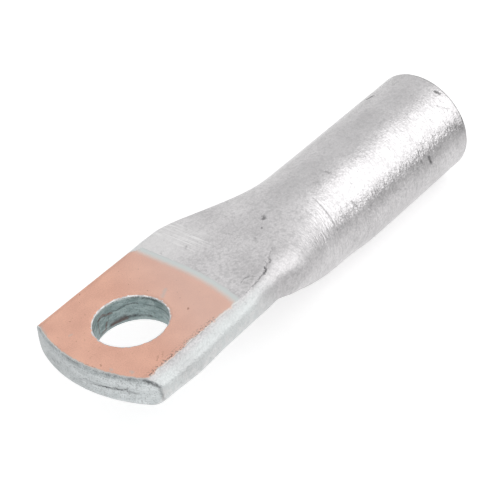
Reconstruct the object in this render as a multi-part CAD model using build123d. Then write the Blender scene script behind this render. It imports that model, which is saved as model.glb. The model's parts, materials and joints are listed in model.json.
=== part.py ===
from build123d import *
import os
from math import cos, radians, sin, tan

# Copper-coated aluminium cable lug, pressed from one length of round tube.
# The origin is the centre of the stud hole on the copper contact face.
# +X runs back along the lug to the mouth of the barrel, and +Z is up, out of the copper face.

# Tube that the lug is pressed from
barrel_diameter = 17.0
bore_diameter = 12.0

# Palm, where the tube is pressed flat, and the copper sprayed on its top
palm_width = 24.0
palm_thickness = 4.6
coat_thickness = 0.15
stud_hole_diameter = 10.5
hole_edge_break = 0.2

# Lengths along the lug: the first two run either way from the stud hole
front_length = 10.0
palm_length = 12.5
neck_length = 28.0
barrel_length = 26.1

# Front end, sheared along an arc that leans out a little towards the underside
front_radius = 22.0
front_lean = 5.0
front_edge_break = 0.25

# Rear edge of the copper: it stops short of the neck, straight on one side,
# then swings forward along an arc
coat_margin = 0.3
coat_straight = 7.5
coat_swing_radius = 43.0

# Neck, where the flat palm opens out into the round barrel: how far the barrel's top
# stands above the palm's copper face, and how high a gap is left where the hollow ends
barrel_rise = 0.86
pinch_gap = 0.5

# Each of the neck's outlines runs from one share of its length to another.
# A skew over 1 makes its ramp start late, and one under 1 makes it start early.
side_start, side_end, side_skew = 0.0, 0.85, 1.3
roof_start, roof_end, roof_skew = 0.09, 1.0, 1.0
floor_start, floor_end, floor_skew = 0.17, 0.97, 0.72
crown_angle, crown_skew = 38.0, 1.6
neck_spans = 14

# Broken edges at the mouth of the barrel, inside and outside
mouth_chamfer = 0.3
rim_chamfer = 0.25

barrel_radius = barrel_diameter / 2
wall = barrel_radius - bore_diameter / 2
stud_radius = stud_hole_diameter / 2
neck_end = palm_length + neck_length
coat_length = palm_length - coat_margin
palm_top = -coat_thickness
palm_bottom = -palm_thickness
flat_half_width = palm_width / 2 - (palm_top - palm_bottom) / 2


def share_of(x, start, end):
    """How far x is from one share of the neck's length to another, between 0 and 1."""
    along = (x - palm_length) / neck_length
    return min(max((along - start) / (end - start), 0.0), 1.0)


def ramp(x, start, end, skew):
    """Share of the way up a smooth ramp that leaves and arrives level."""
    share = share_of(x, start, end) ** skew
    return share * share * (3 - 2 * share)


def between(low, high, share):
    """Value at a share of the way from low to high."""
    return low + (high - low) * share


def section_sizes(x):
    """Half width, top, bottom and crown of the pressed tube's outside at station x."""
    half_width = between(palm_width / 2, barrel_radius, ramp(x, side_start, side_end, side_skew))
    top = between(palm_top, barrel_rise, ramp(x, roof_start, roof_end, roof_skew))
    bottom = between(palm_bottom, barrel_rise - barrel_diameter, ramp(x, floor_start, floor_end, floor_skew))
    crown = radians(crown_angle) * share_of(x, floor_start, floor_end) ** crown_skew
    return half_width, top, bottom, crown


def section(x, inset=0.0):
    """Closed oval of four tangent arcs at station x, drawn in by inset all round.

    The roof and the floor are crowned arcs, straight where the tube is pressed flat,
    and the rolled edges between them are the sides.
    """
    half_width, top, bottom, crown = section_sizes(x)
    half_height = (top - bottom) / 2
    side_centre = max(half_width - half_height, 0.0) / (1 - tan(crown / 2))
    side_radius = half_height - side_centre * tan(crown / 2) - inset

    corner_y = side_centre + side_radius * sin(crown)
    corner_z = side_radius * cos(crown)
    side_y = side_centre + side_radius
    flat_z = half_height - inset
    corners = [(corner_y, -corner_z), (corner_y, corner_z), (-corner_y, corner_z), (-corner_y, -corner_z)]
    bulges = [(side_y, 0), (0, flat_z), (-side_y, 0), (0, -flat_z)]
    edges = []
    for i in range(4):
        first = corners[i]
        last = corners[(i + 1) % 4]
        pressed_flat = i % 2 == 1 and flat_z - corner_z < 1e-4
        edges.append(Line(first, last) if pressed_flat else ThreePointArc(first, bulges[i], last))
    across = Plane((x, 0, (top + bottom) / 2), x_dir=(0, 1, 0), z_dir=(1, 0, 0))
    return across * make_face(Wire(edges))


def pinch_station():
    """Station in the neck where the inside faces of the pressed walls come together."""
    low, high = palm_length, neck_end
    while high - low > 0.001:
        middle = (low + high) / 2
        _, top, bottom, _ = section_sizes(middle)
        if top - bottom < 2 * wall + pinch_gap:
            low = middle
        else:
            high = middle
    return high


def neck_sections(start, inset=0.0):
    """Evenly spaced sections of the neck, from start to where the barrel is round."""
    span = (neck_end - start) / neck_spans
    return [section(start + i * span, inset) for i in range(neck_spans + 1)]


def tube_outside():
    """Palm, neck and barrel as one form, the palm left long at the front."""
    palm = extrude(section(palm_length), -(palm_length + 2 * front_length))
    barrel = extrude(section(neck_end), barrel_length)
    return palm + loft(neck_sections(palm_length)) + barrel


def tube_inside():
    """Bore, open at the mouth, and the hollow that closes towards the palm."""
    bore = extrude(section(neck_end, wall), barrel_length)
    hollow = loft(neck_sections(pinch_station(), wall), ruled=True)
    return hollow + bore


def shear_waste():
    """What the shear takes off the front: all that lies outside a leaning arc."""
    arc_centre = front_radius - front_length
    lean = palm_thickness * tan(radians(front_lean))
    kept = Pos(arc_centre, 0, palm_bottom / 2) * Cone(front_radius + lean, front_radius, palm_thickness)
    ahead = Pos(arc_centre, 0, palm_bottom / 2) * Box(
        4 * front_radius, 4 * front_radius, palm_thickness, align=(Align.MAX, Align.CENTER, Align.CENTER)
    )
    return ahead - kept


def stud_hole(radius):
    """Round hole through the palm and its coat."""
    return Pos(0, 0, palm_bottom / 2) * Cylinder(radius, 2 * palm_thickness)


def is_circle_of(radius):
    """Test for the edges that are circles of the given radius."""
    return lambda edge: edge.geom_type == GeomType.CIRCLE and abs(edge.radius - radius) < 0.001


def make_lug_body():
    """The aluminium body: pressed tube, sheared front, stud hole and broken edges."""
    body = tube_outside() - tube_inside() - shear_waste()
    front_face = body.faces().sort_by(Axis.X)[0]
    body = chamfer(front_face.edges().sort_by(Axis.Z)[:-1], front_edge_break)
    mouth_face = body.faces().sort_by(Axis.X)[-1]
    body = chamfer(mouth_face.outer_wire().edges(), rim_chamfer)
    mouth_face = body.faces().sort_by(Axis.X)[-1]
    body = chamfer(mouth_face.inner_wires()[0].edges(), mouth_chamfer)
    body -= stud_hole(stud_radius)
    return chamfer(body.edges().filter_by(is_circle_of(stud_radius)), hole_edge_break)


def make_copper_coat():
    """Copper layer on the flat of the palm, open over the stud hole's broken edge."""
    swing_start = flat_half_width - coat_straight
    swing_end = coat_length - coat_swing_radius + (
        coat_swing_radius**2 - (flat_half_width + swing_start) ** 2
    ) ** 0.5
    far_front = (-2 * front_length, flat_half_width)
    far_rear = (coat_length, flat_half_width)
    swing_from = (coat_length, swing_start)
    near_rear = (swing_end, -flat_half_width)
    near_front = (-2 * front_length, -flat_half_width)
    outline = Wire([
        Line(far_front, far_rear),
        Line(far_rear, swing_from),
        RadiusArc(swing_from, near_rear, coat_swing_radius),
        Line(near_rear, near_front),
        Line(near_front, far_front),
    ])
    layer = extrude(Pos(0, 0, palm_top) * make_face(outline), coat_thickness, dir=(0, 0, 1))
    return layer - shear_waste() - stud_hole(stud_radius + hole_edge_break)


os.makedirs("parts", exist_ok=True)
export_step(make_lug_body(), "parts/lug_body.step")
export_step(make_copper_coat(), "parts/copper_coat.step")
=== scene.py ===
import contextlib
import json
from math import atan2, copysign, cos, degrees, exp, hypot, pi, radians, sin, sqrt, tan, tau

import bmesh
import bpy
from mathutils import Matrix, Vector, noise


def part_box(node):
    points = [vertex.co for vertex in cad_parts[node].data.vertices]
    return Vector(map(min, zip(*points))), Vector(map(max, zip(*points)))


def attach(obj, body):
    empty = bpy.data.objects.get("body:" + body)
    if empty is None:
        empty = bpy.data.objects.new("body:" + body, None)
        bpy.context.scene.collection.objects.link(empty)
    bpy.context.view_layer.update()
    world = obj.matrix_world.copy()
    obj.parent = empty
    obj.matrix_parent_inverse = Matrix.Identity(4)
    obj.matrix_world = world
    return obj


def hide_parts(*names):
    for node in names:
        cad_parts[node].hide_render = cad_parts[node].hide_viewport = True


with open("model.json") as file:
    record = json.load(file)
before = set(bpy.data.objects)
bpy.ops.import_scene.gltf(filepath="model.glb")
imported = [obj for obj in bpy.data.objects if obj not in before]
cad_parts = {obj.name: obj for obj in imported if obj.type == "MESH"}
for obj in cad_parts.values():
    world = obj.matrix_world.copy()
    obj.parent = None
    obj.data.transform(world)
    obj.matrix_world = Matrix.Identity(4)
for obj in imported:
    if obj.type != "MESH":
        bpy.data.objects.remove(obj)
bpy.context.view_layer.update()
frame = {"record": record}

# Viewpoint
# A long lens held well back, looking down on the copper face over the lug's front right
# corner. The lug lies a little askew in the picture, so the camera is rolled to match.
mm = 0.001
camera_place = Vector((-120.38, -146.14, 150.94)) * mm
camera_heading = radians(45.28)
camera_dip = radians(37.10)
camera_roll = radians(-9.46)

ahead = Vector((
    cos(camera_heading) * cos(camera_dip),
    sin(camera_heading) * cos(camera_dip),
    -sin(camera_dip),
))
level_right = Vector((sin(camera_heading), -cos(camera_heading), 0.0))
level_up = level_right.cross(ahead)
right = level_right * cos(camera_roll) + level_up * sin(camera_roll)
up = level_up * cos(camera_roll) - level_right * sin(camera_roll)


def new_object(name, data):
    """New object in the scene for a mesh, a lamp or a camera."""
    made = bpy.data.objects.new(name, data)
    bpy.context.scene.collection.objects.link(made)
    return made


camera = new_object("camera", bpy.data.cameras.new("camera"))
camera.data.sensor_width = 36.0
camera.data.lens = 129.96
camera.data.clip_start = 0.01
camera.matrix_world = Matrix.Translation(camera_place) @ Matrix((right, up, -ahead)).transposed().to_4x4()
bpy.context.scene.camera = camera
bpy.context.scene.view_settings.view_transform = "Standard"


# Table and lights
# A white table that the lug lies on, lit evenly from all round, with one large soft box
# on the right that lays the broad band of light along the barrel. As the metal mirrors it,
# the table has a painted pool of light: bright close by and painted dim further off, where the pool ends.
table_radius = 0.6
table_colour = (0.8, 0.8, 0.8, 1.0)
painted_far_table_shade = (0.25, 0.25, 0.25, 1.0)
table_glow = 0.46
pool_centre = (0.0, 0.06, 0.0)
pool_reach = (0.15, 0.1, 1.0)
pool_fades_from, pool_fades_to = 0.86, 1.22
room_light = 0.7
background_light = 1.0
soft_box_direction = Vector((0.56, -0.63, 0.538)).normalized()
soft_box_aim = Vector((0.03, 0.0, -0.005))
soft_box_distance = 0.5
soft_box_width = 0.42
soft_box_height = 0.56
soft_box_brightness = 1.14


def node(tree, kind, inputs=None, **settings):
    """New shader node. An input that is another node's output is linked, any other is set."""
    made = tree.nodes.new("ShaderNode" + kind)
    for name, value in settings.items():
        setattr(made, name, value)
    for name, value in (inputs or {}).items():
        if isinstance(value, bpy.types.NodeSocket):
            tree.links.new(value, made.inputs[name])
        else:
            made.inputs[name].default_value = value
    return made


def blend(tree, share, low, high):
    """Colour between two colours, each a colour or another node's output."""
    return node(tree, "Mix", {0: share, 6: low, 7: high}, data_type="RGBA").outputs[2]


def ramp(tree, value, low, high, to_low=0.0, to_high=1.0):
    """Value carried from one range to another, levelling off at both ends."""
    return node(tree, "MapRange", {0: value, 1: low, 2: high, 3: to_low, 4: to_high}).outputs[0]


def combine(tree, operation, first, *others):
    """Values added, multiplied or compared one after another."""
    for value in others:
        first = node(tree, "Math", {0: first, 1: value}, operation=operation).outputs[0]
    return first


def combine_vectors(tree, operation, first, second=None):
    """Two vectors added and so on, or one scaled. A length, distance or dot product is a value.

    A vector is scaled with SCALE, never with MULTIPLY by a value: the renderer turns such values
    into vectors last of all, and in a long finish it runs out of room and shows it black.
    """
    inputs = {0: first}
    if second is not None:
        inputs["Scale" if operation == "SCALE" else 1] = second
    made = node(tree, "VectorMath", inputs, operation=operation)
    return made.outputs["Value" if operation in ("LENGTH", "DISTANCE", "DOT_PRODUCT") else "Vector"]


def product(tree, *values):
    """Values multiplied together."""
    return combine(tree, "MULTIPLY", *values)


def overlap(tree, *spans):
    """Ramps multiplied together, each given as a value, its range and maybe where that goes."""
    return product(tree, *(ramp(tree, *span) for span in spans))


def highest(tree, *values):
    """Highest of several values."""
    return combine(tree, "MAXIMUM", *values)


def seen_directly(tree):
    """1 for what the camera, a mirror or glass sees, 0 for light that falls on surfaces."""
    path = node(tree, "LightPath")
    rays = ("Is Camera Ray", "Is Glossy Ray", "Is Transmission Ray")
    return highest(tree, *(path.outputs[ray] for ray in rays))


world = bpy.data.worlds.new("white room")
world.use_nodes = True
bpy.context.scene.world = world
room = world.node_tree
room.nodes.clear()
lit = node(room, "Background", {"Color": (1, 1, 1, 1), "Strength": room_light})
shown = node(room, "Background", {"Color": (1, 1, 1, 1), "Strength": background_light})
room_mix = node(room, "MixShader", {0: seen_directly(room), 1: lit.outputs[0], 2: shown.outputs[0]})
node(room, "OutputWorld", {"Surface": room_mix.outputs[0]})

table_mesh = bpy.data.meshes.new("table")
table_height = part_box("lug_body")[0].z
table_rim = [
    (table_radius * cos(radians(angle)), table_radius * sin(radians(angle)), table_height)
    for angle in range(0, 360, 5)
]
table_mesh.from_pydata(table_rim, [], [range(len(table_rim))])
table = new_object("table", table_mesh)
table_finish = bpy.data.materials.new("white table")
table_finish.use_nodes = True
paper = table_finish.node_tree
paper.nodes.clear()
on_table = node(paper, "TexCoord").outputs["Object"]
# Painted pool of light: only in reflections, the table's colour darkens away from the lug
off_centre = combine_vectors(paper, "SUBTRACT", on_table, pool_centre)
pool_distance = combine_vectors(paper, "LENGTH", combine_vectors(paper, "DIVIDE", off_centre, pool_reach))
painted_pool_falloff = ramp(paper, pool_distance, pool_fades_from, pool_fades_to)
mirrored = product(paper, painted_pool_falloff, node(paper, "LightPath").outputs["Is Glossy Ray"])
paper_colour = blend(paper, mirrored, table_colour, painted_far_table_shade)
matte = node(paper, "BsdfDiffuse", {"Color": paper_colour})
glow_colour = blend(paper, mirrored, (1, 1, 1, 1), (0, 0, 0, 1))
glow = node(paper, "Emission", {"Color": glow_colour, "Strength": table_glow})
glowing = node(paper, "AddShader", {0: matte.outputs[0], 1: glow.outputs[0]})
paper_mix = node(
    paper, "MixShader", {0: seen_directly(paper), 1: matte.outputs[0], 2: glowing.outputs[0]},
)
node(paper, "OutputMaterial", {"Surface": paper_mix.outputs[0]})
table_mesh.materials.append(table_finish)

soft_box_lamp = bpy.data.lights.new("soft box", "AREA")
soft_box_lamp.shape = "RECTANGLE"
soft_box_lamp.size = soft_box_width
soft_box_lamp.size_y = soft_box_height
soft_box_lamp.energy = soft_box_brightness * pi * soft_box_width * soft_box_height
soft_box = new_object("soft box", soft_box_lamp)
soft_box.location = soft_box_aim + soft_box_direction * soft_box_distance
soft_box.rotation_mode = "QUATERNION"
soft_box.rotation_quaternion = soft_box_direction.to_track_quat("Z", "Y")


# Lug body
# One length of round aluminium tube: its front is pressed flat into the palm and sheared to
# an arc, and its back is left round as the barrel. Bare metal, acid-cleaned to matte silver.
def millimetres(numbers):
    """Lengths for a number in mm, or for a list of them and the lists in it."""
    if isinstance(numbers, (int, float)):
        return numbers * mm
    return tuple(millimetres(number) for number in numbers)


body_low, body_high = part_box("lug_body")
coat_low, coat_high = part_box("copper_coat")
mounts = {mount["name"]: mount for mount in frame["record"]["mounts"]}
stud_radius = mounts["stud_hole"]["dims"]["r_mm"] * mm
bore_radius = mounts["cable_bore"]["dims"]["r_mm"] * mm

palm_half_width = 12.0 * mm
palm_thickness = 4.6 * mm
palm_top = coat_low.z
palm_bottom = -palm_thickness
palm_middle = (palm_top + palm_bottom) / 2
half_thickness = (palm_top - palm_bottom) / 2
flat_half_width = palm_half_width - half_thickness
palm_end = 12.5 * mm
neck_length = 28.0 * mm
neck_end = palm_end + neck_length
barrel_top = body_high.z
barrel_bottom = body_low.z
barrel_radius = (barrel_top - barrel_bottom) / 2
barrel_axis = (barrel_top + barrel_bottom) / 2
mouth = body_high.x
wall = barrel_radius - bore_radius

front_length = 10.0 * mm
front_radius = 22.0 * mm
front_lean = radians(5.0)
top_edge_round = 0.14 * mm
lower_edge_round = 0.75 * mm
front_seam_wander = 0.16 * mm
front_seam_gap = 0.08 * mm
front_seam_from, front_seam_to = -8.6 * mm, 1.2 * mm
shear_drag = 0.03 * mm
mouth_round = 0.35 * mm
bore_edge_round = 0.3 * mm
pinch_gap = 0.5 * mm

side_run = (0.0, 0.85, 1.3)
roof_run = (0.09, 1.0, 1.0)
floor_run = (0.17, 0.97, 0.72)
crown_angle = radians(38.0)
crown_skew = 1.6

# Rolled side of the palm from the top down: each arc's last angle above level, and radius.
# Its upper edge is pressed to a bevel and the rest stands upright. The neck's right shoulder
# has a bevel too, which starts at the crease.
palm_side = [(64, 0.5 * mm), (59, 18.1 * mm), (1, 0.8 * mm), (-3.5, 15.0 * mm)]
shoulder_bevel_from, shoulder_bevel_to = 70, 50
shoulder_wall_from, shoulder_wall_to = 5, -3
shoulder_corner = 2.1 * mm
shoulder_corner_reach = 0.353 * shoulder_corner
lower_corner_share = 0.28
palm_side_from, palm_side_to = 11.0 * mm, 15.5 * mm
shoulder_from, shoulder_to = 18.5 * mm, 24.5 * mm

side_steps = 56
roof_steps = 70
palm_steps = 66
neck_ring_gap, barrel_ring_gap, die_line_ring_gap, inside_ring_gap = 0.23 * mm, 0.38 * mm, 0.09 * mm, 2 * mm

# Waves of the skin, in mm: how tall, and how long along and around the tube
skin_waves = millimetres([(0.026, 6, 4), (0.012, 1.3, 2.2)])
waist_station, waist_length, waist_depth = 38.5 * mm, 3.4 * mm, 0.36 * mm
waist_facing = (-0.73, -0.68)
swelling_station, swelling_length, swelling_height = 0.3 * mm, 4 * mm, 0.36 * mm
nip_station, nip_length, nip_depth = 15.5 * mm, 5.2 * mm, 0.18 * mm
die_line_station, die_line_width, die_line_depth = 34.4 * mm, 0.11 * mm, 0.05 * mm
die_line_from, die_line_to, die_line_fade = radians(14.0), radians(66.0), 0.15
crease_width, crease_depth, crease_least_depth = 0.25 * mm, 0.16 * mm, 0.07 * mm
crease = millimetres([
    (12.4, -9.8), (15.3, -9.4), (17.3, -9.0), (18.2, -8.65),
    (19.5, -8.0), (20.9, -7.25), (22.2, -6.6), (24.0, -6.1),
])
# Pits in the flat of the neck, in mm: place, radius and depth
pits = millimetres([
    ((26.6, -1.5), 0.33, 0.16),
    ((24.7, -2.7), 0.16, 0.08),
    ((22.3, -3.4), 0.22, 0.04),
    ((16.1, 4.2), 0.22, 0.05),
])
# Gouges in the barrel, in mm: from one point to another on its skin, and depth
gouge_width = 0.16 * mm
gouges = millimetres([
    ((58.75, 4.25, -0.25), (59.45, 3.7, 0.05), 0.07),
    ((65.3, -3.9, -0.1), (65.65, -4.6, -0.5), 0.07),
    ((56.75, -8.3, -5.6), (57.0, -8.45, -6.9), 0.08),
    ((39.75, -2.6, 0.44), (39.95, -3.15, 0.25), 0.06),
    ((39.3, -7.2, -3.1), (39.75, -7.8, -4.3), 0.06),
    ((63.2, -5.2, -0.95), (65.0, -6.6, -2.3), 0.03),
])


def smooth(share):
    """Share of the way up a ramp that leaves and arrives level."""
    share = min(max(share, 0.0), 1.0)
    return share * share * (3 - 2 * share)


def between(low, high, share):
    """Value at a share of the way from low to high."""
    return low + (high - low) * share


def noise_at(x, y, z):
    """Smooth random value between about -1 and 1 at a point, whose waves are about 1 long."""
    return noise.noise(Vector((x, y, z)))


def bell(distance, width):
    """1 on a mark, falling to near 0 about two widths away from it."""
    return exp(-((distance / width) ** 2))


def neck_share(x, run):
    """How far station x is along one of the neck's outlines, between 0 and 1."""
    start, end, _ = run
    return min(max(((x - palm_end) / neck_length - start) / (end - start), 0.0), 1.0)


def section_sizes(x):
    """Half width, top, bottom and crown of the tube's outside at station x."""
    half_width = between(palm_half_width, barrel_radius, smooth(neck_share(x, side_run) ** side_run[2]))
    top = between(palm_top, barrel_top, smooth(neck_share(x, roof_run) ** roof_run[2]))
    bottom = between(palm_bottom, barrel_bottom, smooth(neck_share(x, floor_run) ** floor_run[2]))
    crown = crown_angle * neck_share(x, floor_run) ** crown_skew
    return half_width, top, bottom, crown


def spread(low, high, count):
    """Values evenly spread between two ends, half a step in from each."""
    return [between(low, high, (step + 0.5) / count) for step in range(count)]


even_angles = spread(-90, 90, side_steps)
palm_angles = (
    spread(-90, -3.5, 13) + spread(-3.5, 1, 9) + spread(1, 59, 14) + spread(59, 64, 12) + spread(64, 90, 8)
)


def rolled_side(arcs, height, angle):
    """How far out and down a side of arcs has gone from its top edge where it faces an angle."""
    out, down, start = 0.0, 0.0, radians(90)
    for end, radius in arcs + [(-90, None)]:
        end = radians(end)
        if radius is None:
            radius = (height - down) / (1 + sin(start))
        stop = max(end, angle)
        out += radius * (cos(stop) - cos(start))
        down += radius * (sin(start) - sin(stop))
        if stop == angle:
            break
        start = end
    return out, down


def shoulder_side(height, start):
    """Arcs of the shoulder's side, its bevel just long enough to keep the tube's outline.

    The outline is seen along a line that leans in the section, where the normal is 0.729
    across. The other two shares weigh the lower corner and the height as seen that way.
    """
    corner = lower_corner_share * height / 2
    width = (0.414 * corner + 0.158 * height) / 0.729
    bevel_turn = cos(radians(shoulder_bevel_to)) - cos(radians(shoulder_bevel_from))
    bevel = (width - start - shoulder_corner_reach) / bevel_turn
    arcs = [
        (shoulder_bevel_from, 0.05 * mm), (shoulder_bevel_to, bevel), (shoulder_wall_from, shoulder_corner),
    ]
    _, down = rolled_side(arcs, height, radians(shoulder_wall_from))
    wall_height = height - down - corner * (1 - sin(radians(-shoulder_wall_to)))
    wall_turn = sin(radians(shoulder_wall_from)) + sin(radians(-shoulder_wall_to))
    return arcs + [(shoulder_wall_to, max(wall_height, 0.0) / wall_turn)]


def crease_line(x):
    """How far right of the middle the crease runs at station x."""
    for (x1, y1), (x2, y2) in zip(crease, crease[1:]):
        if x <= x2:
            break
    return -between(y1, y2, min(max((x - x1) / (x2 - x1), 0.0), 1.0))


def section_points(x, inset=0.0):
    """Points around the tube at station x, each as y, z and its outward direction's y, z.

    They start in the middle of the floor and go by the left side, the roof and the right
    side, so that the same count along the tube always lies on the same one of four arcs.
    """
    half_width, top, bottom, crown = section_sizes(x)
    half_height = (top - bottom) / 2
    middle = (top + bottom) / 2
    side_centre = max(half_width - half_height, 0.0) / (1 - tan(crown / 2))
    side_radius = half_height - side_centre * tan(crown / 2) - inset
    reach = pi / 2 - crown
    pressed_flat = crown < 1e-4
    crown_radius = 0.0 if pressed_flat else side_radius + side_centre / sin(crown)
    as_palm = 0.0 if inset else 1 - smooth((x - palm_side_from) / (palm_side_to - palm_side_from))
    as_shoulder = 0.0 if inset else 1 - as_palm - smooth((x - shoulder_from) / (shoulder_to - shoulder_from))
    shoulder_edge = crease_line(x) - side_centre
    shoulder = shoulder_side(top - bottom, shoulder_edge) if as_shoulder > 0 else palm_side
    points = []

    def add_crown(shares, facing):
        for share in shares:
            lean = 0.0 if pressed_flat else share * crown
            y = share * side_centre if pressed_flat else crown_radius * sin(lean)
            if facing > 0 and share < 0:
                y += share * max(as_shoulder, 0.0) * shoulder_edge
            height = half_height - inset - crown_radius * (1 - cos(lean))
            points.append((y, middle + facing * height, sin(lean), facing * cos(lean)))

    def add_side(facing):
        shaped = max(as_shoulder, 0.0) if facing < 0 else 0.0
        evenness = 1 - min(as_palm + shaped, 1.0)
        for even, pressed in list(zip(even_angles, palm_angles))[::facing]:
            angle = radians(between(pressed, even, evenness))
            lean = angle * reach / radians(90)
            across, rise = side_centre + side_radius * cos(lean), middle + side_radius * sin(lean)
            out, down = rolled_side(palm_side, top - bottom, angle)
            y = across + as_palm * (side_centre + out - across)
            z = rise + as_palm * (top - down - rise)
            out, down = rolled_side(shoulder, top - bottom, angle)
            y += shaped * (side_centre + shoulder_edge + out - across)
            z += shaped * (top - down - rise)
            points.append((facing * y, z, facing * cos(lean), sin(lean)))

    half_roof = roof_steps // 2
    add_crown([step / half_roof for step in range(half_roof + 1)], -1)
    add_side(1)
    add_crown([1 - step / half_roof for step in range(roof_steps + 1)], 1)
    add_side(-1)
    add_crown([-1 + step / half_roof for step in range(half_roof)], -1)
    return points


def shrunk(y, z, inset):
    """Point of the palm's section drawn in towards the line where its two walls meet."""
    share = inset / half_thickness
    edge = copysign(min(abs(y), flat_half_width), y)
    return between(y, edge, share), between(z, palm_middle, share)


def sheared_front(y, z):
    """Station of the sheared front at a point of the palm's section."""
    radius = front_radius - z * tan(front_lean)
    return front_radius - front_length - sqrt(radius * radius - y * y)


def off_line(point, line):
    """Distance from a point to a line of points, and how far along the line it is nearest."""
    nearest, share = 1.0, 0.0
    for index in range(len(line) - 1):
        start, end = Vector(line[index]), Vector(line[index + 1])
        run = end - start
        along = min(max((point - start).dot(run) / run.length_squared, 0.0), 1.0)
        apart = (point - start - run * along).length
        if apart < nearest:
            nearest, share = apart, (index + along) / (len(line) - 1)
    return nearest, share


def die_line_shown(y, z):
    """Share of the die line's depth at a place round the tube: it runs over the right side only."""
    turn = atan2(z - barrel_axis, -y)
    return smooth((turn - die_line_from) / die_line_fade) * smooth((die_line_to - turn) / die_line_fade)


def pressed_in(x, y, z, out_y, out_z):
    """How far the press, the die and knocks have moved the skin, outward being positive."""
    move = 0.0
    for tall, along, around in skin_waves:
        move += tall * noise_at(x / along, y / around, z / around)
    lower_right = max(0.0, waist_facing[0] * out_y + waist_facing[1] * out_z)
    move -= waist_depth * bell(x - waist_station, waist_length) * lower_right ** 1.5
    if abs(x - die_line_station) < 0.5 * mm:
        move -= die_line_depth * bell(x - die_line_station, die_line_width) * die_line_shown(y, z)
    if out_z > 0.2 and palm_end < x < neck_end:
        on_flat = Vector((x, y))
        apart, share = off_line(on_flat, crease)
        fold = crease_depth * bell(share - 0.52, 0.2)
        fold += crease_least_depth * smooth(share / 0.1) * smooth((1 - share) / 0.3)
        move -= fold * bell(apart, crease_width)
        for place, radius, depth in pits:
            move -= depth * bell((on_flat - Vector(place)).length, radius)
    if x > neck_end - 2 * mm:
        for start, end, depth in gouges:
            if abs(x - start[0]) < 3 * mm:
                move -= depth * bell(off_line(Vector((x, y, z)), [start, end])[0], gouge_width)
    return move


def side_swelling(x, y):
    """How far the palm's right side stands out beside the punched hole, and is nipped behind."""
    if y > 0 or x > 30 * mm:
        return 0.0
    swelling = swelling_height * bell(x - swelling_station, swelling_length)
    return swelling - nip_depth * bell(x - nip_station, nip_length)


def edge_round(out_z):
    """Radius of the sheared edge: nearly sharp along the roof, worn round below."""
    return between(lower_edge_round, top_edge_round, smooth((out_z + 0.2) / 1.1))


def front_rings():
    """Rings of the sheared front, from the line where the walls meet out to the rounded edge."""
    insets = [half_thickness - gap * mm for gap in (0.03, 0.1, 0.2)]
    insets += [half_thickness * share / 10 for share in (9, 8, 7, 6, 5, 4)]
    section = section_points(0.0)
    rings = [[(y, z, inset, out_z) for y, z, _, out_z in section] for inset in insets]
    for angle in range(90, -1, -15):
        short = 1 - cos(radians(angle))
        rings.append([(y, z, edge_round(out_z) * short, out_z) for y, z, _, out_z in section])
    for ring in rings:
        placed = []
        for outer_y, outer_z, inset, out_z in ring:
            y, z = shrunk(outer_y, outer_z, inset)
            edge = edge_round(out_z)
            short = max(0.0, 1 - inset / edge)
            back = edge * (1 - sqrt(1 - min(short, 1.0) ** 2))
            inner = max(0.0, 1 - abs(z - palm_middle) / half_thickness)
            wander = front_seam_wander * noise_at(y / (2.1 * mm), 3.7, 0.0) * inner
            gaping = smooth((y - front_seam_from) / (1.5 * mm)) * smooth((front_seam_to - y) / (1.5 * mm))
            slit = front_seam_gap * gaping if half_thickness - inset < 0.05 * mm else 0.0
            drag = shear_drag * noise_at(y / (6 * mm), z / (0.22 * mm), 1.3) * inner
            placed.append((sheared_front(y, z) + back + slit + drag, y, z + wander))
        yield placed


def palm_rings():
    """Rings of the palm, from the rounded front edge back to where the neck starts."""
    front_section, rear_section = section_points(0.0), section_points(palm_end)
    for step in range(1, palm_steps + 1):
        ring = []
        for front_point, rear_point in zip(front_section, rear_section):
            change = step / palm_steps
            both_points = zip(front_point, rear_point)
            y, z, out_y, out_z = (between(first, last, change) for first, last in both_points)
            x = between(sheared_front(y, z) + edge_round(out_z), palm_end, change)
            move = pressed_in(x, y, z, out_y, out_z) * smooth(step / 6)
            move += abs(out_y) * side_swelling(x, y)
            ring.append((x, y + out_y * move, z + out_z * move))
        yield ring


def neck_and_barrel_rings():
    """Rings of the neck and barrel, closer together where the die line crosses the tube."""
    x = palm_end
    while x < mouth - mouth_round - 0.4 * mm:
        ring_gap = between(neck_ring_gap, barrel_ring_gap, smooth((x - 30 * mm) / (14 * mm)))
        x += die_line_ring_gap if abs(x - die_line_station) < 0.35 * mm else ring_gap
        ring = []
        for y, z, out_y, out_z in section_points(x):
            move = pressed_in(x, y, z, out_y, out_z)
            move += abs(out_y) * side_swelling(x, y)
            ring.append((x, y + out_y * move, z + out_z * move))
        yield ring


def mouth_rings():
    """Rings of the cut mouth: rounded outside, square across the wall, eased into the bore."""
    for angle in range(0, 91, 15):
        turn = radians(angle)
        x = mouth - mouth_round * (1 - sin(turn))
        section = section_points(mouth, mouth_round * (1 - cos(turn)))
        yield [
            (x + min(0.0, 0.05 * mm * noise_at(y / (1.5 * mm), z / (1.5 * mm), 7.0)), y, z)
            for y, z, _, _ in section
        ]
    for angle in range(0, 91, 30):
        turn = radians(angle)
        x = mouth - bore_edge_round * (1 - cos(turn))
        section = section_points(mouth, wall - bore_edge_round * (1 - sin(turn)))
        yield [(x, y, z) for y, z, _, _ in section]


def inside_rings():
    """Rings of the bore and of the hollow behind it, up to where the walls are pinched."""
    x = mouth - inside_ring_gap
    while x > neck_end:
        yield [(x, y, z) for y, z, _, _ in section_points(x, wall)]
        x -= inside_ring_gap
    x = neck_end
    while True:
        _, top, bottom, _ = section_sizes(x)
        if top - bottom < 2 * wall + pinch_gap:
            break
        yield [(x, y, z) for y, z, _, _ in section_points(x, wall)]
        x -= 0.9 * mm


def closing_faces(ring):
    """Faces across a slit-shaped ring, each between two points of its roof and two of its floor."""
    count = len(ring)
    top = count // 2
    left_end = top // 2
    return [
        tuple(ring[place % count] for place in (step, step + 1, top - step - 1, top - step))
        for step in range(-left_end, left_end)
    ]


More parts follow.
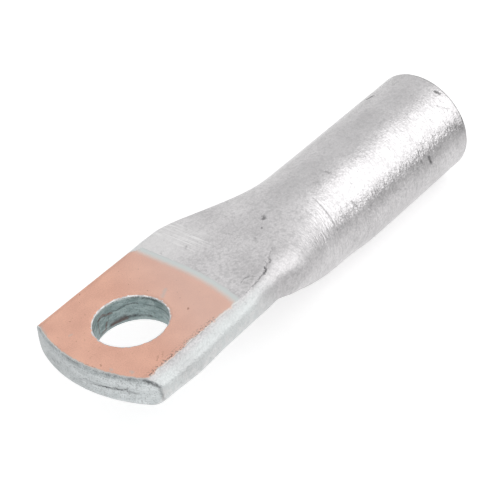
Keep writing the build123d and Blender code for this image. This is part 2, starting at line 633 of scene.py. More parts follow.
def mesh_of_rings(name, ring_points, closed_ends):
    """Mesh through rings of the same count, its two ends closed or left open."""
    points, rings = [], []
    for ring in ring_points:
        rings.append(range(len(points), len(points) + len(ring)))
        points.extend(ring)
    faces = []
    for ring, following in zip(rings, rings[1:]):
        for step in range(len(ring)):
            beside = (step + 1) % len(ring)
            faces.append((ring[step], ring[beside], following[beside], following[step]))
    if closed_ends:
        faces += closing_faces(rings[0]) + closing_faces(rings[-1])
    mesh = bpy.data.meshes.new(name)
    mesh.from_pydata(points, [], faces)
    return mesh


@contextlib.contextmanager
def reshaping(mesh):
    """Open a mesh's form for changes, and put them into the mesh at the end."""
    form = bmesh.new()
    form.from_mesh(mesh)
    yield form
    form.to_mesh(mesh)
    form.free()


def face_outward(mesh):
    """Turn all faces of a closed mesh outward and shade them smooth."""
    with reshaping(mesh) as form:
        bmesh.ops.recalc_face_normals(form, faces=form.faces)
    mesh.shade_smooth()


outside = [*front_rings(), *palm_rings(), *neck_and_barrel_rings(), *mouth_rings()]
first_inside_face = (len(outside) - 1) * len(outside[0])
skin = mesh_of_rings("lug", outside + list(inside_rings()), closed_ends=True)
face_outward(skin)
lug = new_object("lug", skin)


# Stud hole
# Punched through both pressed walls at once, so its wall shows where they meet: a torn,
# wandering line a third of the way down. The metal broke away wider where the punch came out.
rim_round = 0.04 * mm
break_out, break_out_height = 0.38 * mm, 0.9 * mm
seam_depth, seam_width = 0.1 * mm, 0.08 * mm
punch_drag = 0.02 * mm
past_palm = 0.6 * mm
# Height of the torn seam round the hole: degrees from straight back, and mm
seam_line = [
    (0, -1.5), (17, -1.6), (29, -1.3), (40, -1.3), (55, -1.4), (66, -1.8), (75, -1.6),
    (87, -1.6), (99, -1.2), (107, -1.1), (180, -1.8), (270, -1.4), (360, -1.5),
]
hole_turns = 200
hole_levels = 84


def seam_height(turn):
    """Height of the torn seam in one direction round the hole."""
    heading = degrees(turn) % 360
    for (first, low), (last, high) in zip(seam_line, seam_line[1:]):
        if heading <= last:
            break
    torn = 0.12 * noise_at(9 * cos(turn), 9 * sin(turn), 2.0)
    return (between(low, high, (heading - first) / (last - first)) + torn) * mm


def seam_opening(turn):
    """How far the seam gapes in one direction, between 0 where it is smeared shut and 1."""
    return smooth(0.6 + 1.7 * noise_at(4 * cos(turn), 4 * sin(turn), 8.0))


def hole_radius(turn, z):
    """Radius of the punched hole at a height, with its rims, seam and drag marks."""
    above = max(0.0, z - (palm_top - rim_round)) / rim_round
    below = max(0.0, (palm_bottom + rim_round) - z) / rim_round
    beyond = max(above, below)
    rounded = rim_round * (1 - sqrt(1 - min(beyond, 1.0) ** 2))
    radius = stud_radius + rounded + rim_round * max(0.0, beyond - 1)
    radius += seam_depth * seam_opening(turn) * bell(z - seam_height(turn), seam_width)
    radius += punch_drag * noise_at(14 * cos(turn), 14 * sin(turn), z / (1.6 * mm))
    radius += break_out * smooth((palm_bottom + break_out_height - z) / break_out_height)
    return radius


def punch_mesh():
    """Closed form of what the punch takes out."""
    low, high = palm_bottom - past_palm, palm_top + past_palm
    rings = []
    for level in range(hole_levels + 1):
        z = between(low, high, level / hole_levels)
        rings.append([
            (hole_radius(turn, z) * cos(turn), hole_radius(turn, z) * sin(turn), z)
            for turn in (tau * step / hole_turns for step in range(hole_turns))
        ])
    mesh = mesh_of_rings("punch", rings, closed_ends=False)
    with reshaping(mesh) as form:
        bmesh.ops.holes_fill(form, edges=[edge for edge in form.edges if edge.is_boundary])
    face_outward(mesh)
    return mesh


punch = new_object("punch", punch_mesh())
cut = lug.modifiers.new("stud hole", "BOOLEAN")
cut.operation = "DIFFERENCE"
cut.solver = "EXACT"
cut.object = punch


# Aluminium finish
# The same bare metal all over: stippled and dull where the press worked it, finely wrinkled
# and brighter on the barrel, dragged in lines on the sheared and punched faces.
def shade(red, green, blue):
    """Shader colour from the red, green and blue, 0 to 255, that it shows on a screen."""
    parts = (red / 255, green / 255, blue / 255)
    linear = [part / 12.92 if part < 0.04045 else ((part + 0.055) / 1.055) ** 2.4 for part in parts]
    return (*linear, 1.0)


aluminium_light = shade(215, 213, 214)
aluminium_dull = shade(189, 187, 188)
aluminium_dark = shade(172, 171, 172)
aluminium_pale = shade(226, 225, 225)
aluminium_cool = shade(217, 221, 221)
# Dark of dirt, and of painted shade in creases, pits, cracks and seams
dirt_and_painted_shade = shade(66, 66, 68)
brown = shade(106, 76, 70)
# Near white of the torn rim round the stud hole, partly a painted highlight
torn_rim_and_painted_highlight = shade(250, 250, 250)

# Thin marks, in mm. Those on top of the neck are lines seen from above: both ends' x and y,
# how wide and how dark. The rest have both ends' x, y and z. Those along the neck's crease,
# beside it, in its pits, along the front's crack and the hole's torn seam are painted shade.
neck_marks = [
    ((12.6, -9.8), (17.2, -9.0), 0.14, 0.5),
    ((17.2, -9.1), (18.0, -8.8), 0.3, 0.9),
    ((18.0, -8.8), (18.4, -8.3), 0.26, 0.95),
    ((18.5, -8.5), (19.2, -8.0), 0.16, 0.55),
    ((19.2, -8.0), (19.3, -7.6), 0.14, 0.5),
    ((19.5, -8.3), (19.9, -8.1), 0.2, 0.6),
    ((19.9, -8.1), (20.3, -7.4), 0.15, 0.55),
    ((20.3, -7.4), (22.1, -6.6), 0.14, 0.35),
    ((13.9, -7.8), (14.7, -7.5), 0.2, 0.4),
    ((14.7, -7.5), (15.6, -7.8), 0.2, 0.45),
    ((15.6, -7.8), (15.9, -8.6), 0.18, 0.4),
    ((14.2, -8.5), (14.9, -8.2), 0.16, 0.3),
    ((14.9, -8.2), (15.5, -8.7), 0.16, 0.35),
    ((13.8, -8.9), (15.9, -8.1), 1.1, 0.1),
    ((16.4, -8.0), (19.5, -7.2), 1.5, 0.12),
    ((15.9, 4.0), (16.4, 4.4), 0.2, 0.35),
    ((26.4, -1.6), (26.8, -1.3), 0.42, 0.75),
    ((26.9, -1.4), (27.1, -1.1), 0.22, 0.4),
    ((22.2, -3.5), (22.5, -3.2), 0.3, 0.35),
    ((23.1, -3.1), (23.2, -3.0), 0.22, 0.25),
    ((24.7, -2.7), (24.8, -2.6), 0.22, 0.6),
]
barrel_marks = [
    ((58.8, 4.2, -0.2), (59.5, 3.7, 0.0), 0.46, 0.95),
    ((65.3, -3.9, -0.1), (65.6, -4.5, -0.4), 0.36, 0.9),
    ((56.8, -8.3, -5.6), (57.0, -8.4, -6.7), 0.42, 0.8),
    ((55.0, -8.2, -5.2), (55.2, -8.3, -5.8), 0.26, 0.45),
    ((39.7, -2.6, 0.4), (40.0, -3.2, 0.3), 0.3, 0.4),
    ((39.4, -7.2, -3.1), (39.8, -7.8, -4.2), 0.24, 0.5),
    ((63.2, -5.2, -1.0), (65.0, -6.6, -2.3), 0.22, 0.3),
    ((62.7, 2.2, 0.6), (64.0, 2.0, 0.6), 0.24, 0.2),
    ((53.0, -2.4, 0.5), (54.6, -2.2, 0.6), 0.3, 0.2),
    ((36.8, -2.8, 0.4), (37.3, -2.9, 0.4), 0.5, 0.25),
    ((63.0, -7.8, -4.3), (65.6, -8.2, -5.6), 0.5, 0.3),
]
front_marks = [
    ((-10.2, 0.6, -2.8), (-10.1, -2.3, -2.6), 0.13, 0.35),
    ((-10.1, -2.3, -2.6), (-9.9, -3.7, -2.5), 0.15, 0.8),
    ((-9.9, -3.7, -2.5), (-9.5, -5.5, -2.3), 0.16, 0.9),
    ((-9.5, -5.5, -2.3), (-9.2, -6.6, -2.3), 0.16, 0.9),
    ((-9.2, -6.6, -2.3), (-8.9, -7.2, -1.9), 0.18, 0.85),
    ((-9.1, -6.9, -2.2), (-8.9, -7.4, -2.5), 0.2, 0.7),
    ((-8.9, -7.4, -2.5), (-8.5, -8.6, -2.5), 0.18, 0.45),
    ((-8.4, -8.5, -1.0), (-8.4, -8.5, -1.7), 0.16, 0.4),
    ((-9.3, 6.6, -2.8), (-9.5, 5.9, -2.9), 0.24, 0.7),
]
# Both the sheared front and the skin have those of the corner between them
corner_marks = [
    ((-7.9, -9.6, -0.3), (-7.4, -10.5, -0.7), 0.34, 0.85),
    ((-7.4, -10.5, -0.7), (-7.0, -11.2, -1.2), 0.34, 0.8),
    ((-7.0, -11.3, -1.3), (-7.0, -11.6, -3.6), 0.34, 0.5),
]
hole_marks = [
    ((-1.5, 5.0, -1.1), (-0.8, 5.2, -1.2), 0.13, 0.6),
    ((-0.8, 5.2, -1.2), (0.3, 5.2, -1.6), 0.13, 0.65),
    ((0.3, 5.2, -1.6), (1.4, 5.1, -1.6), 0.13, 0.75),
    ((2.1, 4.8, -1.8), (3.0, 4.3, -1.4), 0.14, 0.75),
    ((3.0, 4.3, -1.4), (4.0, 3.4, -1.3), 0.14, 0.7),
    ((4.0, 3.4, -1.3), (5.0, 1.5, -1.6), 0.14, 0.7),
    ((0.8, 5.2, -3.7), (2.0, 4.9, -3.6), 0.75, 0.8),
    ((2.0, 4.9, -3.6), (2.9, 4.4, -3.3), 0.7, 0.8),
    ((2.9, 4.4, -3.4), (4.0, 3.3, -3.5), 0.36, 0.95),
    ((4.0, 3.3, -3.5), (5.0, 1.5, -3.6), 0.36, 0.8),
    ((0.7, 5.2, -1.7), (0.5, 5.2, -2.7), 0.16, 0.45),
    ((0.5, 5.2, -2.7), (-0.8, 5.2, -3.1), 0.15, 0.4),
    ((-0.8, 5.2, -3.1), (-1.5, 5.0, -3.7), 0.16, 0.45),
    ((0.6, 5.2, -3.8), (0.9, 5.2, -3.7), 0.45, 0.6),
    ((3.9, 3.5, -0.3), (4.7, 2.4, -0.4), 0.2, 0.6),
    ((4.7, 2.4, -0.4), (5.0, 1.6, -0.4), 0.24, 0.8),
    ((5.0, 1.6, -0.4), (5.2, 0.2, -0.5), 0.24, 0.8),
    ((5.2, 0.2, -0.5), (5.1, -1.2, -0.6), 0.22, 0.5),
]
hole_stains = [
    ((-1.6, 4.9, -3.9), (-1.7, 4.9, -2.6), 0.26, 0.55),
    ((-1.7, 4.9, -2.6), (-1.5, 5.0, -1.3), 0.24, 0.5),
    ((-1.5, 5.0, -1.3), (-0.4, 5.2, -1.1), 0.26, 0.9),
    ((-0.4, 5.2, -1.1), (0.4, 5.2, -1.6), 0.26, 0.9),
    ((0.4, 5.2, -1.6), (1.2, 5.1, -1.8), 0.24, 0.8),
    ((0.1, 5.2, -2.8), (-0.3, 5.2, -3.8), 0.3, 0.8),
    ((-0.3, 5.2, -3.8), (-0.9, 5.1, -3.8), 0.34, 0.8),
    ((1.1, 5.1, -3.8), (2.9, 4.3, -3.7), 0.55, 0.75),
]


def grain(tree, lengths, detail=2.0, roughness=0.5):
    """Noise over the surface whose features have the given lengths in x, y and z, in mm."""
    place = node(tree, "TexCoord").outputs["Object"]
    scale = tuple(1000.0 / length for length in lengths)
    spread = node(tree, "Mapping", {"Vector": place, "Scale": scale})
    made = node(
        tree, "TexNoise",
        {"Vector": spread.outputs[0], "Scale": 1.0, "Detail": detail, "Roughness": roughness},
    )
    return made.outputs["Fac"]


def coordinates(tree):
    """Across, along and up the lug in mm, from the stud hole's middle."""
    place = node(tree, "TexCoord").outputs["Object"]
    in_mm = node(tree, "Mapping", {"Vector": place, "Scale": (1000.0, 1000.0, 1000.0)}).outputs[0]
    apart = node(tree, "SeparateXYZ", {0: in_mm})
    return apart.outputs[1], apart.outputs[0], apart.outputs[2]


def mark(tree, name):
    """Share of a mark kept on the mesh, such as its dirt and painted shade."""
    return node(tree, "Attribute", attribute_name=name).outputs["Fac"]


def uneven_place(tree, flat=False):
    """Object's own coordinates in mm, shaken a little so that marks drawn in them look torn."""
    place = node(tree, "TexCoord").outputs["Object"]
    scale = (1000.0, 1000.0, 0.0 if flat else 1000.0)
    in_mm = node(tree, "Mapping", {"Vector": place, "Scale": scale}).outputs[0]
    shake = node(tree, "TexNoise", {"Vector": in_mm, "Scale": 3.0, "Detail": 1.0}).outputs["Color"]
    centred = combine_vectors(tree, "SUBTRACT", shake, (0.5, 0.5, 0.5))
    return combine_vectors(tree, "ADD", in_mm, combine_vectors(tree, "SCALE", centred, 0.45))


def line_mark(tree, place, start, end, width):
    """1 in the middle of a line between two points, falling to 0 at its sides and ends."""
    start = Vector(start).to_3d()
    run = Vector(end).to_3d() - start
    from_start = combine_vectors(tree, "SUBTRACT", place, start)
    along = combine_vectors(tree, "DOT_PRODUCT", from_start, run / run.length_squared)
    share = node(tree, "Clamp", {0: along}).outputs[0]
    nearest = combine_vectors(tree, "SCALE", run, share)
    return ramp(tree, combine_vectors(tree, "DISTANCE", from_start, nearest), width, 0.0)


def darkest(tree, place, marks):
    """How dark a place is under the darkest of several lines, merged one by one to save room."""
    deepest = None
    for start, end, width, dark in marks:
        drawn = product(tree, line_mark(tree, place, start, end, width), dark)
        deepest = drawn if deepest is None else highest(tree, deepest, drawn)
    return deepest


def bumps(tree, layers):
    """Normal from layers of bumps, each a height from 0 to 1 and how tall it stands in mm."""
    normal = None
    for height, tall in layers:
        inputs = {"Height": height, "Distance": tall * mm, "Strength": 1.0}
        if normal is not None:
            inputs["Normal"] = normal
        normal = node(tree, "Bump", inputs).outputs[0]
    return normal


def bare_metal(name):
    """New all-metal finish, its nodes and its shader."""
    finish = bpy.data.materials.new(name)
    finish.use_nodes = True
    metal = finish.node_tree.nodes["Principled BSDF"]
    metal.inputs["Metallic"].default_value = 1.0
    return finish, finish.node_tree, metal


def aluminium(name):
    """Bare aluminium of the tube's skin. Places and lengths are in mm."""
    finish, tree, metal = bare_metal(name)
    across, along, height = coordinates(tree)
    on_barrel = ramp(tree, along, 22.0, 34.0)
    cloud = grain(tree, (5.0, 5.0, 5.0), detail=3.0)
    stipple = grain(tree, (0.26, 0.26, 0.26))
    hairs = grain(tree, (0.18, 0.9, 0.9))
    wrinkle = grain(tree, (0.45, 1.7, 1.7))

    # Cloudy, stippled grey with darker mottling
    tone = combine(tree, "ADD", product(tree, cloud, 0.45), product(tree, stipple, 0.55))
    colour = blend(tree, ramp(tree, tone, 0.36, 0.64), aluminium_dull, aluminium_light)
    mottled = ramp(tree, grain(tree, (0.6, 0.6, 0.6)), 0.48, 0.66, 0.0, 0.45)
    colour = blend(tree, mottled, colour, aluminium_dark)

    # Pale scrapes across the left of the neck, which is lighter all over
    scraped = overlap(tree, (along, 14.0, 16.5), (along, 20.8, 19.0))
    scrape_lines = ramp(tree, grain(tree, (0.2, 7.0, 7.0), detail=1.0), 0.44, 0.58)
    scrapes = product(tree, scraped, ramp(tree, across, 0.5, 4.0), scrape_lines)
    lighter = overlap(tree, (across, 1.0, 6.0, 0.0, 0.6), (along, 24.0, 16.0))
    colour = blend(tree, highest(tree, lighter, scrapes), colour, aluminium_pale)

    # Cool tint down the palm's pressed sides
    rolled = overlap(tree, (height, -0.2, -0.6), (along, 18.0, 11.0))
    tinted = product(tree, rolled, ramp(tree, cloud, 0.3, 0.7, 0.55, 0.95))
    colour = blend(tree, tinted, colour, aluminium_cool)

    # Bright torn rim in patches along the stud hole's far side, its near white partly a painted highlight
    from_hole_squared = combine(tree, "ADD", product(tree, across, across), product(tree, along, along))
    at_hole = overlap(tree, (from_hole_squared, 6.0 ** 2, 5.5 ** 2), (height, -0.5, -0.3))
    far_side = ramp(tree, combine(tree, "ADD", across, along), -2.5, 4.0)
    patches = ramp(tree, grain(tree, (0.7, 0.7, 0.7)), 0.46, 0.58, 0.0, 0.9)
    colour = blend(tree, product(tree, at_hole, far_side, patches), colour, torn_rim_and_painted_highlight)

    # Pale flakes on the palm's upright wall
    on_wall = product(tree, rolled, ramp(tree, height, -1.4, -2.2))
    flakes = ramp(tree, grain(tree, (0.9, 0.9, 0.9), detail=3.0), 0.42, 0.62, 0.0, 0.7)
    colour = blend(tree, product(tree, on_wall, flakes), colour, aluminium_pale)

    # Painted reflection: a darker band along the barrel's crown and a paler one beside it, painted in for
    # the room mirrored in the metal
    crown = product(
        tree, ramp(tree, across, -4.5, -1.5), ramp(tree, across, 2.6, 0.6, 0.0, 0.35),
        on_barrel, ramp(tree, height, -5.0, -3.0),
    )
    colour = blend(tree, crown, colour, aluminium_dark)
    painted_flank_sheen = product(tree, ramp(tree, across, 1.2, 4.5, 0.0, 0.36), on_barrel)
    colour = blend(tree, painted_flank_sheen, colour, aluminium_pale)

    # Dirt in spots; dark marks, partly dirt and nicks and partly painted shade along the crease, in the
    # pits, the die line and the hole's seam; and a dark line at the mouth's rim
    spots = grain(tree, (0.8, 1.0, 1.0), detail=4.0, roughness=0.75)
    colour = blend(tree, ramp(tree, spots, 0.6, 0.72, 0.0, 0.2), colour, dirt_and_painted_shade)
    on_neck = product(
        tree, darkest(tree, uneven_place(tree, flat=True), neck_marks), ramp(tree, height, -3.6, -3.2),
    )
    drawn = highest(tree, on_neck, darkest(tree, uneven_place(tree), barrel_marks + corner_marks))
    caught_dirt_and_shade = product(tree, mark(tree, "dirt_and_painted_shade"), ramp(tree, stipple, 0.3, 0.55, 0.6, 1.0))
    rim = overlap(tree, (along, 66.1, 66.3), (along, 66.5, 66.35, 0.0, 0.35))
    colour = blend(tree, highest(tree, caught_dirt_and_shade, drawn, rim), colour, dirt_and_painted_shade)
    tree.links.new(colour, metal.inputs["Base Color"])

    # Matte where the press worked it, and shinier on the barrel
    barrel_roughness = ramp(tree, on_barrel, 0.0, 1.0, 0.5, 0.33)
    roughness = combine(tree, "ADD", barrel_roughness, ramp(tree, rolled, 0.0, 1.0, 0.0, 0.12))
    tree.links.new(roughness, metal.inputs["Roughness"])

    # Stipple all over, hairs and wrinkles on the barrel's sides, hairs on the shoulder
    below_top = ramp(tree, height, -2.5, -5.0, 0.7, 2.5)
    above_floor = ramp(tree, height, -11.5, -8.5, 0.7, 2.5)
    wrinkled = product(tree, on_barrel, combine(tree, "MINIMUM", below_top, above_floor))
    on_shoulder = overlap(tree, (along, 12.0, 16.0), (across, -6.0, -8.0))
    haired = product(tree, on_barrel, ramp(tree, height, -2.0, -5.0, 0.6, 1.7))
    layers = [
        (product(tree, stipple, ramp(tree, rolled, 0.0, 1.0, 1.0, 2.4)), 0.06),
        (product(tree, hairs, highest(tree, haired, on_shoulder)), 0.042),
        (product(tree, wrinkle, wrinkled), 0.11),
        (drawn, -0.08),
        (scrapes, -0.03),
    ]
    tree.links.new(bumps(tree, layers), metal.inputs["Normal"])
    return finish


def dragged_aluminium(name, lengths, light, dull, marks, brown_marks, stain, edge_from, edge_colour):
    """Aluminium torn by the shear or the punch, with lines of the given lengths in mm."""
    finish, tree, metal = bare_metal(name)
    metal.inputs["Roughness"].default_value = 0.48
    lines = grain(tree, lengths, detail=3.0, roughness=0.6)
    cloud = grain(tree, (2.0, 2.0, 1.0), detail=3.0)
    speckle = grain(tree, (0.22, 0.22, 0.22))
    across, _, height = coordinates(tree)
    colour = blend(tree, ramp(tree, combine(tree, "ADD", lines, cloud), 0.8, 1.2), dull, light)
    colour = blend(tree, ramp(tree, across, -10.0, 6.0, 0.0, stain), colour, dirt_and_painted_shade)
    # A band under the top edge in the edge colour: dark on the sheared face, and near white on the punched
    # wall, where it is partly a painted highlight along the rim
    burr_and_sheen = overlap(tree, (height, edge_from, -0.2, 0.0, 0.6), (speckle, 0.4, 0.55))
    colour = blend(tree, burr_and_sheen, colour, edge_colour)
    place = uneven_place(tree)
    # Dirt, speckles and marks, with painted shade in the crack, the seam and along the edges
    drawn = darkest(tree, place, marks)
    caught_dirt_and_shade = product(tree, mark(tree, "dirt_and_painted_shade"), ramp(tree, lines, 0.3, 0.55, 0.6, 1.0))
    dirt_and_crack_shade = highest(tree, caught_dirt_and_shade, ramp(tree, speckle, 0.52, 0.7, 0.0, 0.4), drawn)
    colour = blend(tree, dirt_and_crack_shade, colour, dirt_and_painted_shade)
    if brown_marks:
        colour = blend(tree, darkest(tree, place, brown_marks), colour, brown)
    tree.links.new(colour, metal.inputs["Base Color"])
    tree.links.new(bumps(tree, [(lines, 0.014), (speckle, 0.045), (drawn, -0.08)]), metal.inputs["Normal"])
    return finish


def drawn_aluminium(name):
    """Clean inside of the tube, with faint lines along it from the drawing."""
    finish, tree, metal = bare_metal(name)
    metal.inputs["Roughness"].default_value = 0.5
    lines = grain(tree, (8.0, 0.3, 0.3))
    tree.links.new(blend(tree, lines, aluminium_dull, aluminium_light), metal.inputs["Base Color"])
    tree.links.new(bumps(tree, [(lines, 0.01)]), metal.inputs["Normal"])
    return finish


skin_finish = aluminium("bare aluminium")
shear_finish = dragged_aluminium(
    "sheared aluminium", lengths=(4.0, 4.0, 0.16), light=shade(219, 223, 224), dull=shade(197, 202, 203),
    marks=front_marks + corner_marks, brown_marks=[], stain=0.28,
    edge_from=-1.4, edge_colour=shade(140, 148, 150),
)
# Its colours are darker than the skin's, partly the torn surface and partly painted shade inside the hole;
# its rim band is painted near white, partly a painted highlight
punch_finish = dragged_aluminium(
    "punched aluminium", lengths=(1.2, 1.2, 0.4), light=shade(162, 176, 176), dull=shade(128, 144, 144),
    marks=hole_marks, brown_marks=hole_stains, stain=0.0, edge_from=-0.5, edge_colour=shade(235, 236, 235),
)
skin.materials.append(skin_finish)
skin.materials.append(shear_finish)
skin.materials.append(drawn_aluminium("drawn aluminium"))
punch.data.materials.append(punch_finish)
cut.material_mode = "TRANSFER"

for face in skin.polygons:
    if face.center.x < sheared_front(face.center.y, face.center.z) + 0.1 * mm:
        face.material_index = 1
    elif face.index >= first_inside_face:
        face.material_index = 2

scene_graph = bpy.context.evaluated_depsgraph_get()
pierced = bpy.data.meshes.new_from_object(lug.evaluated_get(scene_graph))
lug.modifiers.clear()
lug.data = pierced
pierced.name = "lug"
bpy.data.meshes.remove(skin)
bpy.data.objects.remove(punch)
# The cut leaves a few slivers and spare points along its edges, which go
with reshaping(pierced) as form:
    bmesh.ops.dissolve_degenerate(form, dist=0.001 * mm, edges=form.edges)
    spare_points = [vertex for vertex in form.verts if len(vertex.link_edges) == 2]
    bmesh.ops.dissolve_verts(form, verts=spare_points)
pierced.set_sharp_from_angle(angle=radians(40))


def dirt_and_shade_at(point):
    """How dark a spot of the skin is: painted shade in the die line, the pits and the hole's seam where it
    gapes, darker the deeper the pit, and dark lines along the front's top and bottom edges and low in the
    hole.
    """
    x, y, z = point
    dark = 0.0
    patchy = 0.5 + 0.9 * noise_at(x / (0.5 * mm), y / (0.5 * mm), z / (0.5 * mm))
    front = sheared_front(y, z)
    if x < front + 1.2 * mm:
        near_face = bell(x - front, 0.35 * mm)
        dark = max(dark, 0.6 * patchy * near_face * bell(z - palm_top + 0.08 * mm, 0.12 * mm))
        dark = max(dark, 0.5 * patchy * near_face * bell(z - palm_bottom - 0.15 * mm, 0.2 * mm))
    if abs(x - die_line_station) < 0.5 * mm:
        dark = max(dark, 0.4 * die_line_shown(y, z) * bell(x - die_line_station, 0.1 * mm))
    if palm_end < x < neck_end and z > -3 * mm:
        on_flat = Vector((x, y))
        for place, radius, depth in pits:
            deepest = min(1.0, depth / (0.12 * mm))
            dark = max(dark, deepest * bell((on_flat - Vector(place)).length, radius * 0.8))
    if hypot(x, y) < stud_radius + 0.3 * mm and palm_bottom < z < palm_top:
        turn = atan2(y, x)
        dark = max(dark, 0.35 * seam_opening(turn) * bell(z - seam_height(turn), 0.09 * mm))
        dark = max(dark, 0.4 * patchy * bell(z - palm_bottom - 0.5 * mm, 0.3 * mm))
    return min(max(dark, 0.0), 1.0)


# Painted shade in the die line, pits and seam, and dark lines at the edges, kept on the mesh
dirt_and_shade_marks = pierced.attributes.new("dirt_and_painted_shade", "FLOAT", "POINT")
dirt_and_shade_marks.data.foreach_set("value", [dirt_and_shade_at(vertex.co) for vertex in pierced.vertices])
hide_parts("lug_body")
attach(lug, "root")


# Copper coat
# A thin layer of copper sprayed on the palm's contact face. It was masked behind the palm,
# so it ends there in a soft edge and a pale cleaned strip, and it stops ragged at the sides.
coat_thickness = coat_high.z - coat_low.z
coat_straight = 7.5 * mm
coat_swing_radius = 43.0 * mm
masked_strip = 1.1 * mm
right_spray, left_spray = 0.9 * mm, 1.75 * mm
coat_turns = 420
coat_rings = 72
# How far the layer takes to rise from each of its edges, and its copper and strip to fade in
rear_rise, front_rise, right_rise, left_rise, hole_rise = 0.9 * mm, 0.15 * mm, 0.18 * mm, 0.2 * mm, 0.12 * mm
copper_rear_fade, copper_right_fade, copper_front_fade = 1.5 * mm, 0.55 * mm, 0.16 * mm
strip_fade = 0.8 * mm
copper_light = shade(238, 187, 164)
copper_dull = shade(223, 172, 152)
copper_speck = shade(150, 88, 66)

# Marks on the coat, in mm: both ends' x and y, how wide and how strong
dark_spots = [
    ((5.8, -5.2), (6.0, -5.1), 0.2, 0.9), ((-8.9, -2.9), (-8.8, -2.8), 0.2, 0.8),
    ((-4.3, -8.6), (-3.5, -8.1), 0.14, 0.4), ((-3.4, -8.8), (-2.6, -8.2), 0.14, 0.35),
]
worn_spots = [
    ((-6.6, 5.1), (-6.3, 5.0), 0.3, 0.4), ((-8.8, -4.7), (-8.7, -4.5), 0.34, 0.6),
    ((-7.7, -7.4), (-7.6, -7.2), 0.34, 0.6), ((6.0, -0.4), (7.4, 0.3), 0.45, 0.5),
    ((-8.5, 8.3), (-7.6, 10.2), 0.7, 0.7),
]
edge_lines = [
    ((-8.0, -9.8), (6.0, -9.8), 0.9, 0.8), ((-9.1, 6.0), (-9.9, 1.5), 0.24, 0.5),
    ((-9.9, 1.5), (-9.7, -3.0), 0.24, 0.5), ((-9.7, -3.0), (-8.9, -7.0), 0.24, 0.5),
    ((-8.9, -7.0), (-7.7, -9.9), 0.24, 0.5),
]
strip_pale = shade(206, 211, 210)
bare_beside = shade(197, 196, 197)
copper_film = shade(222, 191, 180)
worn_metal = shade(190, 192, 192)


def coat_rear(y):
    """Station of the copper's rear edge: straight on the left, swinging forward on the right."""
    swing = max(0.0, flat_half_width - coat_straight - y)
    return coat_high.x - coat_swing_radius + sqrt(coat_swing_radius ** 2 - swing ** 2)


def palm_surface(x, y):
    """Height of the palm's bare top at a point, over the flat and down the rolled sides."""
    past = abs(y) - flat_half_width
    height = palm_top
    if past > 0:
        for angle in range(90, 0, -1):
            out, down = rolled_side(palm_side, 2 * half_thickness, radians(angle))
            if out > past:
                break
        height = palm_top - down
    return height + pressed_in(x, y, height, 0.0, 1.0)


def coat_reach(turn):
    """How far the modelled layer goes from the stud hole in one direction, under its edges."""
    along, across = cos(turn), sin(turn)
    low, high = stud_radius, 30 * mm
    while high - low > 0.01 * mm:
        reach = (low + high) / 2
        x, y = reach * along, reach * across
        beside = -flat_half_width - right_spray < y < flat_half_width + left_spray
        ahead_of_strip_end = x < coat_rear(y) + masked_strip + 0.15 * mm
        if beside and ahead_of_strip_end and x > sheared_front(y, palm_top) + 0.02 * mm:
            low = reach
        else:
            high = reach
    return low


def coat_point(turn, share, reach):
    """Point of the layer's top between the hole and its outline, its copper and its strip."""
    hole_edge = stud_radius + 0.02 * mm
    out = between(hole_edge, reach, share)
    x, y = out * cos(turn), out * sin(turn)
    ragged = noise_at(x / (0.55 * mm), y / (0.55 * mm), 0.0)
    ragged += 0.5 * noise_at(x / (0.2 * mm), y / (0.2 * mm), 4.0)
    rear = coat_rear(y) - x + 0.1 * mm * ragged
    front = x - sheared_front(y, palm_top) - 0.12 * mm + 0.12 * mm * ragged
    torn = noise_at(x / (1.9 * mm), y / (1.9 * mm), 9.0)
    right = y + flat_half_width + 0.3 * mm + 0.22 * mm * ragged + 0.3 * mm * torn
    left = flat_half_width + 1.6 * mm - y + 0.1 * mm * ragged
    burr_width = between(0.15 * mm, 0.3 * mm, smooth(cos(turn - radians(60))))
    hole = out - hole_edge - burr_width + 0.18 * mm * ragged
    copper = smooth((rear + 0.35 * mm) / copper_rear_fade) * smooth((right + 0.05 * mm) / copper_right_fade)
    copper *= smooth((front - 0.03 * mm) / copper_front_fade)
    edges = min(
        smooth(front / front_rise), smooth(right / right_rise), smooth(left / left_rise),
        smooth(hole / hole_rise),
    )
    strip = smooth((rear + masked_strip) / strip_fade)
    layer = coat_thickness * smooth((rear + 0.1 * mm) / rear_rise) * edges
    layer += (0.035 * mm * strip - 0.015 * mm) * edges - 0.03 * mm * (1 - edges)
    return (x, y, palm_surface(x, y) + min(layer, coat_thickness)), copper, strip


coat_ring_points = [[] for ring in range(coat_rings + 1)]
for step in range(coat_turns):
    turn = tau * step / coat_turns
    reach = coat_reach(turn)
    for ring in range(coat_rings + 1):
        share = 1 - (1 - ring / coat_rings) ** 1.5
        coat_ring_points[ring].append(coat_point(turn, share, reach))
coat_copper = [copper for ring in coat_ring_points for _, copper, _ in ring] + [0.0] * (3 * coat_turns)
coat_strip = [strip for ring in coat_ring_points for _, _, strip in ring] + [0.0] * (3 * coat_turns)
top_rings = [[point for point, _, _ in ring] for ring in coat_ring_points]


def lowered(ring, drop):
    """The same ring, further down in the metal."""
    return [(x, y, z - drop) for x, y, z in ring]


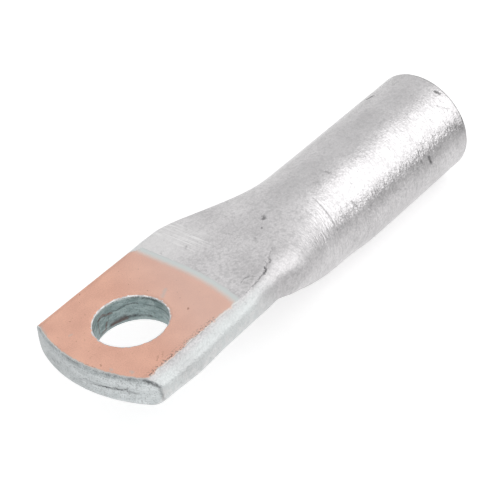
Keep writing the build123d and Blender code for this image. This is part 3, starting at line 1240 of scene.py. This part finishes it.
under = 0.12 * mm
underside_rings = [lowered(top_rings[-1], under), lowered(top_rings[0], under), top_rings[0]]
coat_mesh = mesh_of_rings("copper", top_rings + underside_rings, closed_ends=False)
for name, values in (("copper", coat_copper), ("strip", coat_strip)):
    coat_mesh.attributes.new(name, "FLOAT", "POINT").data.foreach_set("value", values)
with reshaping(coat_mesh) as form:
    bmesh.ops.remove_doubles(form, verts=form.verts, dist=0.0001 * mm)
face_outward(coat_mesh)

copper_finish = bpy.data.materials.new("sprayed copper")
copper_finish.use_nodes = True
spray = copper_finish.node_tree
copper = spray.nodes["Principled BSDF"]
copper.inputs["Roughness"].default_value = 0.6
dust = grain(spray, (0.18, 0.18, 0.18), detail=3.0)
cloud = grain(spray, (4.0, 4.0, 4.0), detail=3.0)
specks = ramp(spray, grain(spray, (0.36, 0.36, 0.36), detail=1.0), 0.73, 0.78)
sprayed = mark(spray, "copper")
cloudy = ramp(spray, combine(spray, "ADD", dust, cloud), 0.82, 1.18)
colour = blend(spray, cloudy, copper_dull, copper_light)
colour = blend(spray, specks, colour, copper_speck)
across, along, _ = coordinates(spray)
towards_neck = combine(spray, "SUBTRACT", along, product(spray, across, 0.5))
film = combine(spray, "ADD", ramp(spray, towards_neck, 0.0, 10.0), product(spray, cloud, 0.3))
colour = blend(spray, ramp(spray, film, 0.1, 1.1, 0.0, 0.55), colour, copper_film)
on_coat = uneven_place(spray, flat=True)
colour = blend(spray, darkest(spray, on_coat, dark_spots), colour, copper_speck)
colour = blend(spray, darkest(spray, on_coat, worn_spots), colour, worn_metal)
flecks = ramp(spray, grain(spray, (0.28, 0.28, 0.28)), 0.5, 0.62)
ragged_edge = product(spray, darkest(spray, on_coat, edge_lines), flecks)
colour = blend(spray, ragged_edge, colour, dirt_and_painted_shade)
bare = blend(spray, mark(spray, "strip"), bare_beside, strip_pale)
colour = blend(spray, sprayed, bare, colour)
spray.links.new(colour, copper.inputs["Base Color"])
spray.links.new(ramp(spray, sprayed, 0.0, 1.0, 0.9, 0.35), copper.inputs["Metallic"])
spray.links.new(bumps(spray, [(dust, 0.012)]), copper.inputs["Normal"])
coat_mesh.materials.append(copper_finish)

coat = new_object("copper", coat_mesh)
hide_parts("copper_coat")
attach(coat, "root")
